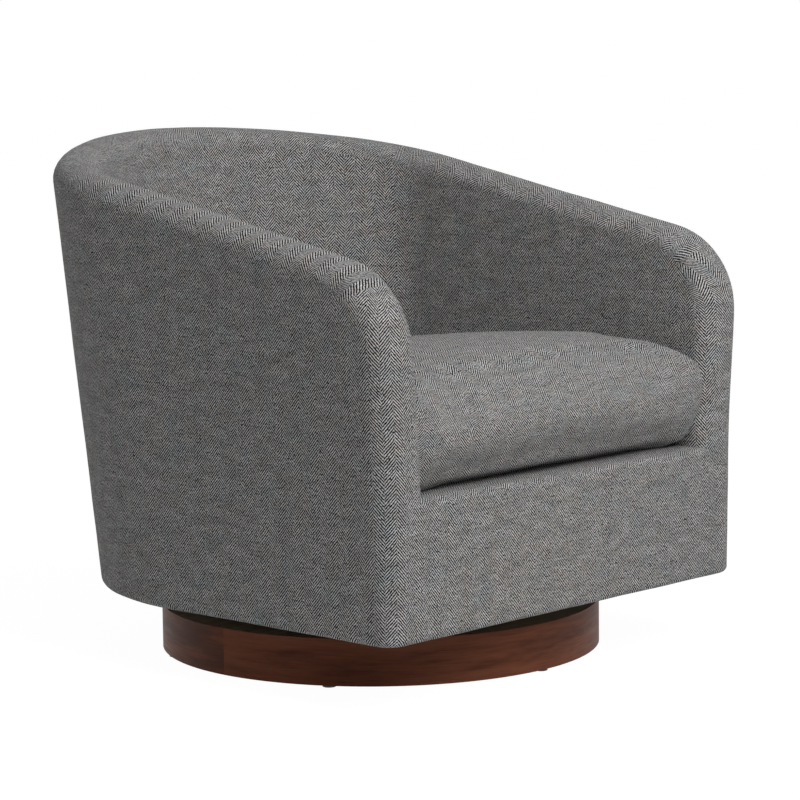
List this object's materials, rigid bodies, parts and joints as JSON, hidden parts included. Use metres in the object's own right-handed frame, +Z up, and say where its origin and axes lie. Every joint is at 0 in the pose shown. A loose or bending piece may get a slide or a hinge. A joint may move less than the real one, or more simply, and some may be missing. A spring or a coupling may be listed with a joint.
{
  "type": "swivel tub chair",
  "caption": "Upholstered barrel chair with a sloping seamless rim, a loose crowned seat cushion and a round wooden swivel plinth.",
  "frame": {"origin": "on the floor, under the middle of the chair's width and length", "axes": "+Z up, the chair faces -Y, +X towards the arm that is on the right as the picture looks along +Y; the swivel axis stands 53.8 mm in front of the origin"},
  "size_m": [0.7582, 0.8416, 0.7372],
  "materials": {
    "herringbone_tweed": "charcoal and pale grey herringbone tweed",
    "upholstery_foam": "cut polyurethane foam",
    "wadding": "bonded polyester wadding",
    "jute": "woven jute pad",
    "dust_cloth": "black non-woven dust cloth",
    "fibreboard": "bare upholsterer's board",
    "birch_ply": "bare birch ply",
    "frame_timber": "planed hardwood",
    "walnut_veneer": "dark walnut stain, satin lacquer",
    "spring_steel": "drawn spring wire",
    "zinc_steel": "zinc plated",
    "black_steel": "black powder coat",
    "glide_plastic": "moulded nylon"
  },
  "bodies": {
    "base": {"floor_glides": "glide_plastic", "plinth_ring": "birch_ply", "plinth_veneer": "walnut_veneer", "plinth_top_board": "birch_ply", "plinth_braces": "frame_timber", "glue_blocks": "frame_timber", "lower_swivel_plate": "black_steel", "lower_plate_bolts": "zinc_steel", "lower_plate_nuts": "zinc_steel", "centre_pin": "zinc_steel", "pin_nut": "zinc_steel"},
    "ball_cage": {"ball_cage": "zinc_steel", "bearing_balls": "zinc_steel"},
    "cushion": {"cushion_core": "upholstery_foam", "cushion_cover": "herringbone_tweed"},
    "seat": {"swivel_board": "birch_ply", "bottom_frame": "birch_ply", "seat_frame": "birch_ply", "cross_rails": "frame_timber", "front_rail": "frame_timber", "corner_blocks": "frame_timber", "front_posts": "frame_timber", "side_studs": "frame_timber", "back_studs": "frame_timber", "top_rail": "frame_timber", "upper_swivel_plate": "black_steel", "upper_plate_bolts": "zinc_steel", "upper_plate_nuts": "zinc_steel", "spring_clips": "zinc_steel", "sinuous_springs": "spring_steel", "jute_pad": "jute", "dust_cover": "dust_cloth", "outer_panel_left": "fibreboard", "outer_panel_right": "fibreboard", "outer_panel_back": "fibreboard", "inner_panel_left": "fibreboard", "inner_panel_right": "fibreboard", "inner_panel_back": "fibreboard", "outer_wadding_left": "wadding", "outer_wadding_right": "wadding", "outer_wadding_back": "wadding", "arm_pad_left": "upholstery_foam", "arm_pad_right": "upholstery_foam", "back_pad": "upholstery_foam", "front_pad": "upholstery_foam", "deck_pad": "upholstery_foam", "front_cover": "herringbone_tweed", "deck_cover": "herringbone_tweed", "outside_cover_left": "herringbone_tweed", "outside_cover_right": "herringbone_tweed", "outside_cover_back": "herringbone_tweed", "inside_cover_left": "herringbone_tweed", "inside_cover_right": "herringbone_tweed", "inside_cover_back": "herringbone_tweed"}
  },
  "joints": [
    {"name": "swivel", "type": "hinge", "parent": "base", "child": "seat", "pos_m": [0, -0.05377, 0], "axis": [0, 0, 1], "continuous": true},
    {"name": "cage_spin", "type": "hinge", "parent": "base", "child": "ball_cage", "pos_m": [0, -0.05377, 0], "axis": [0, 0, 1], "continuous": true},
    {"name": "cushion_lift", "type": "slide", "parent": "seat", "child": "cushion", "axis": [0, 0, 1], "range_m": [0, 0.3]}
  ],
  "couplings": [
    {"joint": "cage_spin", "follows": "swivel", "ratio": 0.5}
  ]
}
